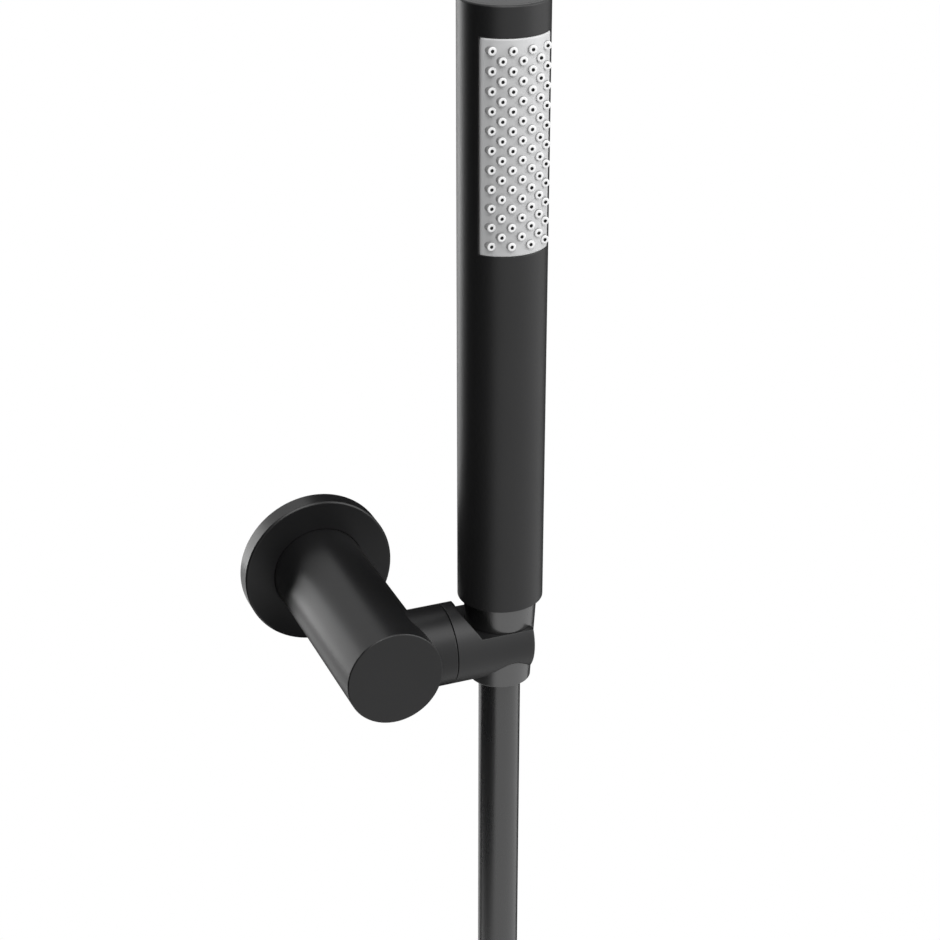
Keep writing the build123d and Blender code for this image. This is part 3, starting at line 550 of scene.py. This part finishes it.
def new_piece(name, grid, ends="caps", uv_size=None, painted_shade=None):
    """Closed mesh from copies of a grid of points, whose columns wrap.

    Its ends are caps, poles where a row is one point, or wrapped like the columns. The painted
    shade, darkness painted into the colour where shade would fall, is kept as an attribute of the points.
    """
    copies, rows, columns, _ = grid.shape
    faces, places = grid_faces(rows, columns, ends == "wrapped")
    offsets = np.arange(copies)[:, None, None] * rows * columns
    polygons = (faces[None] + offsets).reshape(-1, 4).tolist()
    if ends == "caps":
        caps = np.stack([np.arange(columns), (rows - 1) * columns + np.arange(columns)])
        polygons += (caps[None] + offsets).reshape(-1, columns).tolist()
    mesh = bpy.data.meshes.new(name)
    mesh.from_pydata(grid.reshape(-1, 3).tolist(), [], polygons)
    if uv_size:
        layer = mesh.uv_layers.new(name="UVMap")
        values = np.zeros((len(mesh.loops), 2), np.float32)
        scale = np.array(uv_size) / np.array([rows, columns])
        values[: places.size // 2 * copies] = np.tile((places * scale).reshape(-1, 2)[:, ::-1], (copies, 1))
        layer.data.foreach_set("uv", values.ravel())
    if painted_shade is not None:
        # The painted shade goes on the points as an attribute
        mesh.attributes.new("painted_shade", "FLOAT", "POINT").data.foreach_set("value", painted_shade.ravel())
    shell = bmesh.new()
    shell.from_mesh(mesh)
    bmesh.ops.remove_doubles(shell, verts=shell.verts, dist=MERGE_DISTANCE)
    bmesh.ops.recalc_face_normals(shell, faces=shell.faces)
    shell.to_mesh(mesh)
    shell.free()
    mesh.polygons.foreach_set("use_smooth", np.ones(len(mesh.polygons), bool))
    mesh.set_sharp_from_angle(angle=SHARP_ANGLE)
    piece = bpy.data.objects.new(name, mesh)
    bpy.context.scene.collection.objects.link(piece)
    return piece


def curved_plate(name, inner, outer, low, high, half_width, edge):
    """Curved plate with straight sides, about the handset's axis.

    At each distance x from its middle a rounded section reaches from sqrt(inner^2 - x^2) out to
    sqrt(outer^2 - x^2). Within the edge's distance e of either side that drops by
    edge - sqrt(edge^2 - (edge - e)^2).
    """
    rim_steps, width_steps = 7, 45
    thickness = outer - inner
    section = rounded([(0, low), (0, high), (thickness, high), (thickness, low)], [0, 0, edge, edge])
    rim = edge * (1 - np.cos(np.linspace(0, pi / 2, rim_steps)))
    middle = np.linspace(-half_width + edge, half_width - edge, width_steps)[1:-1]
    aside = np.concatenate([-half_width + rim, middle, (half_width - rim)[::-1]])
    inside = np.minimum(half_width - abs(aside), edge)
    drop = edge - np.sqrt(np.maximum(edge**2 - (edge - inside) ** 2, 0))
    near = np.sqrt(inner**2 - aside**2)
    depth = np.sqrt(outer**2 - aside**2) - drop - near
    y = AXIS_Y - near[:, None] - section[None, :, 0] * depth[:, None] / thickness
    x = np.broadcast_to(AXIS_X + aside[:, None], y.shape)
    z = np.broadcast_to(section[None, :, 1], y.shape)
    return new_piece(name, np.stack([x, y, z], axis=-1)[None])


def nozzle_grid(sizes):
    """Every nozzle: one profile of distance and height, turned about an axis that points to the front.

    The tips stand on a circle about the handset's axis, in columns at equal angles, and every other
    column is a nozzle shorter. The second array is painted shade: 1 down the holes, where a blind floor stands in
    for the shadow deeper in, and less on the sides, which are painted darker as if unlit.
    """
    sides = 22
    hole, tip, base = sizes.hole_width / 2, sizes.tip_width / 2, sizes.base_width / 2
    back, floor = -sizes.nozzle_length, -sizes.hole_depth
    corners = [(0, floor), (hole, floor), (hole, 0), (tip, 0), (base, back), (0, back)]
    profile = rounded(corners, [0, 0, sizes.hole_lip, sizes.lip, 0, 0], steps=5)
    column, row = np.meshgrid(np.arange(sizes.columns), np.arange(sizes.rows), indexing="ij")
    count = sizes.rows - column % 2
    kept = row < count
    angle = ((column - (sizes.columns - 1) / 2) * sizes.column_angle)[kept][:, None, None]
    height = (PLATE_MIDDLE + ((count - 1) / 2 - row) * sizes.row_pitch)[kept][:, None, None]
    turn = np.linspace(0, 2 * pi, sides, endpoint=False)[None, None]
    distance = profile[None, :, None, 0]
    x = AXIS_X + NOZZLE_TIP_RADIUS * np.sin(angle) + distance * np.sin(turn)
    z = height + distance * np.cos(turn)
    y = AXIS_Y - NOZZLE_TIP_RADIUS * np.cos(angle) - profile[None, :, None, 1] + 0 * x
    behind = -profile[None, :, None, 1]
    # Painted shade: the floor and walls of each hole go dark, standing in for the shadow down the hole
    down = np.clip(1 - (distance - hole) / sizes.hole_lip, 0, 1)
    # Painted shade: the sides behind the lip are darkened as if unlit
    side = sizes.painted_side_shade * np.clip(2 * behind / sizes.lip - 1, 0, 1)
    dark = np.where(distance < (hole + tip) / 2, down, side) + 0 * x
    return np.stack([x, y, z], axis=-1), dark.astype(np.float32)


def loop_axes():
    """Heading of the hose at its first loop, and the direction from there to the loops' middle."""
    before, last = (np.array([aside, 0, height]) for aside, height in HOSE_ROUTE[-2:])
    heading = (last - before) / np.linalg.norm(last - before)
    return heading, np.array([heading[2], 0, -heading[0]])


def loop_point(hose, turn, scale=1.0):
    """Points of the loops after a number of turns.

    The radius falls and then grows by a pitch a turn, and the depth climbs one pitch where it reverses.
    """
    heading, inward = loop_axes()
    begin = np.array([AXIS_X + HOSE_ROUTE[-1][0], AXIS_Y, HOSE_ROUTE[-1][1]]) + heading * hose.width
    middle = begin + inward * hose.radius
    turn = np.atleast_1d(turn)[:, None]
    radius = (hose.radius - hose.pitch * (hose.reverses - abs(turn - hose.reverses))) * scale
    depth = hose.pitch * np.clip((turn - hose.reverses) / hose.climb + 0.5, 0, 1)
    around = heading * np.sin(2 * pi * turn) - inward * np.cos(2 * pi * turn)
    return middle + around * radius + np.array([0, 1, 0]) * depth


def hose_line(hose):
    """Points along the hose, read from one smooth spline through its route, loops and tail."""
    steps_per_turn, drop_points = 24, 6
    widened = 1 / cos(pi / steps_per_turn)
    turns = np.arange(round(hose.turns * steps_per_turn) + 1) / steps_per_turn
    loops = loop_point(hose, turns, widened)
    step = 2 * pi * hose.radius / steps_per_turn
    down = np.array([0, 0, -1])
    leaving = loop_point(hose, hose.turns)[0]
    route = [(AXIS_X, AXIS_Y, height) for height in np.linspace(HOSE_TOP, HOSE_ROUTE[0][1], drop_points)]
    route += [(AXIS_X + aside, AXIS_Y, height) for aside, height in HOSE_ROUTE[1:]]
    points = np.concatenate([route, loops, [loops[-1] + down * step, leaving + down * hose.tail]])
    curve = bpy.data.curves.new("hose_route", "CURVE")
    curve.dimensions = "3D"
    spline = curve.splines.new("NURBS")
    spline.points.add(len(points) - 1)
    spline.points.foreach_set("co", np.column_stack([points, np.ones(len(points))]).ravel())
    spline.order_u = 3
    spline.use_endpoint_u = True
    spline.resolution_u = 12
    guide = bpy.data.objects.new("hose_route", curve)
    line = bpy.data.meshes.new_from_object(guide)
    path = np.zeros(len(line.vertices) * 3)
    line.vertices.foreach_get("co", path)
    bpy.data.meshes.remove(line)
    bpy.data.objects.remove(guide)
    bpy.data.curves.remove(curve)
    return path.reshape(-1, 3)


def hose_grid(path, outer, inner, sides=40):
    """Hollow tube: circles of the outer radius along the path, and of the inner one back again."""
    ahead = np.gradient(path, axis=0)
    ahead /= np.linalg.norm(ahead, axis=1)[:, None]
    first = np.cross([0, 1, 0], ahead)
    first /= np.linalg.norm(first, axis=1)[:, None]
    second = np.cross(ahead, first)
    turn = np.linspace(0, 2 * pi, sides, endpoint=False)[None, :, None]
    circle = first[:, None] * np.cos(turn) + second[:, None] * np.sin(turn)
    return np.concatenate([path[:, None] + circle * outer, (path[:, None] + circle * inner)[::-1]])[None]


def strap_grid(hose):
    """Strap round the loops, with its end laid over its start.

    At each angle the strap touches the loop that reaches furthest that way, and a rounded section of
    the strap's width and thickness is carried along that line. The end lifts by a smooth step.
    """
    begins, overlap, ramp = radians(150), radians(75), radians(40)
    tied_loops, samples, clearance = 3, 150, 0.0001
    strands = loop_point(hose, hose.tie_turn + np.arange(tied_loops))
    heading, inward = loop_axes()
    turn = 2 * pi * hose.tie_turn
    outward = heading * sin(turn) - inward * cos(turn)
    depth = np.array([0, 1, 0])
    along = np.cross(outward, depth)
    angle = np.linspace(0, 2 * pi + overlap, samples) + begins
    normal = np.cos(angle)[:, None] * outward + np.sin(angle)[:, None] * depth
    furthest = strands[np.argmax(normal @ strands.T, axis=1)]
    share = np.clip((angle - angle[0] - 2 * pi + ramp) / ramp, 0, 1)
    lift = share**2 * (3 - 2 * share) * (hose.tie_thickness + clearance)
    reach = hose.width / 2 + hose.tie_slack + lift
    half, thick, round_off = hose.tie_width / 2, hose.tie_thickness, hose.tie_thickness * 0.4
    section = rounded([(-half, 0), (half, 0), (half, thick), (-half, thick)], [round_off] * 4, steps=4)
    line = furthest + normal * reach[:, None]
    return (line[:, None] + along * section[None, :, :1] + normal[:, None] * section[None, :, 1:])[None]


def area_lamp(name, place, aim, size, power):
    """Soft lamp of a size at a place, turned to a point."""
    data = bpy.data.lights.new(name, "AREA")
    data.shape = "RECTANGLE"
    data.size, data.size_y = size
    data.energy = power
    lamp = bpy.data.objects.new(name, data)
    lamp.location = place
    lamp.rotation_euler = (Vector(aim) - Vector(place)).to_track_quat("-Z", "Y").to_euler()
    lamp.visible_camera = False
    bpy.context.scene.collection.objects.link(lamp)


def dark_card(name, corners):
    """Dark card with four corners. It is only seen in reflections, where it takes white out."""
    mesh = bpy.data.meshes.new(name)
    mesh.from_pydata(corners, [], [(0, 1, 2, 3)])
    matte_black = {"Base Color": (0.01, 0.01, 0.01, 1.0), "Roughness": 1.0}
    mesh.materials.append(Finish(name, matte_black).material)
    card = bpy.data.objects.new(name, mesh)
    card.visible_camera = card.visible_diffuse = card.visible_shadow = False
    bpy.context.scene.collection.objects.link(card)


def upright(near, far, high):
    """Corners of an upright card over a line on the floor, up to a height."""
    low = FLOOR_HEIGHT + CARD_LIFT
    return [(*near, low), (*far, low), (*far, high), (*near, high)]


def lying(near, far, height):
    """Corners of a level card between two opposite corners."""
    return [(*near, height), (far[0], near[1], height), (*far, height), (near[0], far[1], height)]


def white_room(settings):
    """World that lights evenly, and looks white to the camera and in reflections."""
    world = bpy.data.worlds.new("white_room")
    bpy.context.scene.world = world
    world.use_nodes = True
    shading = Shading(world.node_tree)
    camera = shading.node("ShaderNodeLightPath", output="Is Camera Ray")
    seen = camera.maximum(camera.beside("Is Glossy Ray")).maximum(camera.beside("Is Transmission Ray"))
    strength = 1 - (1 - seen) * (1 - settings.room_light)
    background = world.node_tree.nodes["Background"]
    shading.join((1, 1, 1, 1), background.inputs["Color"])
    shading.join(strength, background.inputs["Strength"])


def white_floor():
    """Pale floor that keeps a shadow near the object and is white to the camera further off."""
    reach = 6.0
    corners = [(-reach, -reach), (reach, -reach), (reach, reach), (-reach, reach)]
    mesh = bpy.data.meshes.new("floor")
    mesh.from_pydata([(x, y, FLOOR_HEIGHT) for x, y in corners], [], [(0, 1, 2, 3)])
    floor = bpy.data.objects.new("floor", mesh)
    bpy.context.scene.collection.objects.link(floor)
    pale = {"Base Color": (0.9, 0.9, 0.9, 1.0), "Roughness": 0.9, "Specular IOR Level": 0.1}
    finish = Finish("floor_white", pale)
    under = {"Vector": finish.place(), "Location": (-AXIS_X, -AXIS_Y, 0), "Scale": (1, 1, 0)}
    level = finish.node("ShaderNodeMapping", {}, under)
    away = finish.node("ShaderNodeVectorMath", {"operation": "LENGTH"}, {0: level}, output="Value")
    ring = {"Value": away, "From Min": 0.10, "From Max": 0.30, "To Min": 0.4, "To Max": 1.0}
    far = finish.node("ShaderNodeMapRange", {"interpolation_type": "SMOOTHSTEP"}, ring)
    camera = finish.node("ShaderNodeLightPath", output="Is Camera Ray")
    seen = camera.maximum(camera.beside("Is Glossy Ray"))
    glow = finish.node("ShaderNodeEmission", {}, {"Color": (1, 1, 1, 1), "Strength": 1.0})
    lit = Wire(finish, finish.shader.outputs["BSDF"])
    shown = finish.node("ShaderNodeMixShader", {}, {0: far * seen, 1: lit, 2: glow})
    finish.join(shown, finish.tree.nodes["Material Output"].inputs["Surface"])
    mesh.materials.append(finish.material)


class ShowerStage(bpy.types.Operator):
    """Sets the camera, the lamps, the white room and the floor"""

    bl_idname = "shower.stage"
    bl_label = "Set the stage"

    def execute(self, context):
        settings = context.scene.shower_stage
        context.scene.view_settings.view_transform = "Standard"
        azimuth, elevation = settings.azimuth, settings.elevation
        level = cos(elevation)
        back = Vector((-sin(azimuth) * level, -cos(azimuth) * level, sin(elevation)))
        right = Vector((cos(azimuth), -sin(azimuth), 0))
        data = bpy.data.cameras.new("photo_camera")
        data.lens = settings.lens
        data.sensor_width = SENSOR_WIDTH
        camera = bpy.data.objects.new("photo_camera", data)
        turned = Matrix((right, back.cross(right), back)).transposed().to_4x4()
        camera.matrix_world = Matrix.Translation(Vector(settings.target) + back * settings.distance) @ turned
        context.scene.collection.objects.link(camera)
        context.scene.camera = camera
        aim = (AXIS_X, AXIS_Y, AIM_HEIGHT)
        key, rim, fill = settings.key_power, settings.rim_power, settings.fill_power
        area_lamp("key_lamp", place=(1.35, -0.85, 0.75), aim=aim, size=(1.1, 1.6), power=key)
        area_lamp("rim_lamp", place=(-0.62, 1.4, -0.12), aim=aim, size=(0.5, 0.9), power=rim)
        area_lamp("fill_lamp", place=(-0.1, -0.9, 1.5), aim=aim, size=(1.2, 1.2), power=fill)
        dark_card("left_card", upright(near=(-0.45, -0.62), far=(-0.45, 0.60), high=0.8))
        dark_card("right_card", upright(near=(0.035, 0.160), far=(0.224, -0.010), high=0.225))
        dark_card("hose_card", upright(near=(-0.25, 0.20), far=(-0.10, 0.20), high=-0.25))
        dark_card("arm_card", lying(near=(-0.020, -0.055), far=(0.0, 0.035), height=-0.030))
        white_room(settings)
        white_floor()
        return {"FINISHED"}


class ShowerHose(bpy.types.Operator):
    """Makes the hose and the strap that ties its loops"""

    bl_idname = "shower.hose"
    bl_label = "Make the hose"

    def execute(self, context):
        sizes = context.scene.shower_hose
        colours = context.scene.shower_colours
        path = hose_line(sizes)
        length = np.linalg.norm(np.diff(path, axis=0), axis=1).sum()
        grid = hose_grid(path, sizes.width / 2, sizes.bore / 2)
        hose = new_piece("hose", grid, ends="wrapped", uv_size=(2 * length, pi * sizes.width))
        hose.data.materials.append(hose_sheath(colours.sheath))
        bends_from = HOSE_HINGE + Vector((0, 0, HOSE_BEND_ABOVE))
        bends_to = HOSE_HINGE - Vector((0, 0, HOSE_BEND_BELOW))
        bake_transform(hose)
        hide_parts("hose_drop", "hose_coil")
        strap_length, strap_girth = 0.11, 2 * (sizes.tie_width + sizes.tie_thickness)
        strap = new_piece("loop_strap", strap_grid(sizes), uv_size=(strap_length, strap_girth))
        strap.data.materials.append(woven_strap(colours.strap))
        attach(strap, "hose")
        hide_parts("coil_tie")
        return {"FINISHED"}


class ShowerSpray(bpy.types.Operator):
    """Makes the spray plate and the nozzle mat"""

    bl_idname = "shower.spray"
    bl_label = "Make the spray face"

    def execute(self, context):
        sizes = context.scene.shower_handset
        colours = context.scene.shower_colours
        inside = TUBE_RADIUS - sizes.tube_wall
        half_width = PLATE_HALF_WIDTH - sizes.plate_gap
        plate = curved_plate(
            "spray_face", inside, PLATE_RADIUS, PLATE_LOW.z, PLATE_HIGH.z, half_width, sizes.plate_edge
        )
        plate.data.materials.append(satin_plate(colours.plate))
        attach(plate, "handset")
        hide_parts("spray_plate")
        # The nozzles carry their painted shade on their points
        grid, dark = nozzle_grid(sizes)
        nozzles = new_piece("nozzles", grid, ends="poles", painted_shade=dark)
        nozzles.data.materials.append(silicone(colours.silicone))
        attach(nozzles, "handset")
        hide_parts("nozzle_mat")
        return {"FINISHED"}


class ShowerFinishes(bpy.types.Operator):
    """Gives every part of the frame its finish"""

    bl_idname = "shower.finishes"
    bl_label = "Finish the parts"

    def execute(self, context):
        colours = context.scene.shower_colours
        finishes = {
            "black_paint": powder_coat("powder_coat", colours.paint, shine=0.42, roughness=0.36),
            "moulded_plastic": moulded("natural_moulding", colours.moulding, roughness=0.42),
            "brass": turned_metal("machined_brass", colours.brass, roughness=0.24),
            "steel": turned_metal("plain_steel", colours.steel, roughness=0.28),
            "seal_rubber": moulded("seal_rubber", colours.rubber, roughness=0.6),
        }
        bracket = powder_coat("bracket_coat", colours.paint, shine=0.34, roughness=0.28)
        special = {"cone_nut": satin_black(colours.paint), "wall_flange": bracket, "arm": bracket}
        for part in frame["record"]["subparts"]:
            name, slot = part["node"], part["material_slot"]
            if slot in finishes:
                materials = frame["nodes"][name].data.materials
                materials.clear()
                materials.append(special.get(name, finishes[slot]))
        return {"FINISHED"}


class ShowerPanel(bpy.types.Panel):
    """Sidebar panel with the steps and the sizes"""

    bl_idname = "VIEW3D_PT_shower"
    bl_label = "Shower handset"
    bl_space_type = "VIEW_3D"
    bl_region_type = "UI"
    bl_category = "Shower"

    def draw(self, context):
        for operator in OPERATORS:
            self.layout.operator(operator.bl_idname)
        for name in GROUPS:
            box = self.layout.box()
            settings = getattr(context.scene, name)
            for size in settings.bl_rna.properties:
                if size.identifier not in ("rna_type", "name"):
                    box.prop(settings, size.identifier)


GROUPS = {
    "shower_handset": HandsetSizes,
    "shower_hose": HoseSizes,
    "shower_colours": FinishColours,
    "shower_stage": StageSettings,
}
OPERATORS = (ShowerStage, ShowerHose, ShowerSpray, ShowerFinishes)
CLASSES = (*GROUPS.values(), *OPERATORS, ShowerPanel)


def register():
    for part in CLASSES:
        bpy.utils.register_class(part)
    for name, group in GROUPS.items():
        setattr(bpy.types.Scene, name, PointerProperty(type=group))


def unregister():
    for name in GROUPS:
        delattr(bpy.types.Scene, name)
    for part in reversed(CLASSES):
        bpy.utils.unregister_class(part)


def main():
    """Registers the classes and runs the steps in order."""
    register()
    bpy.ops.shower.stage()
    bpy.ops.shower.hose()
    bpy.ops.shower.spray()
    bpy.ops.shower.finishes()


if __name__ == "__main__":
    main()
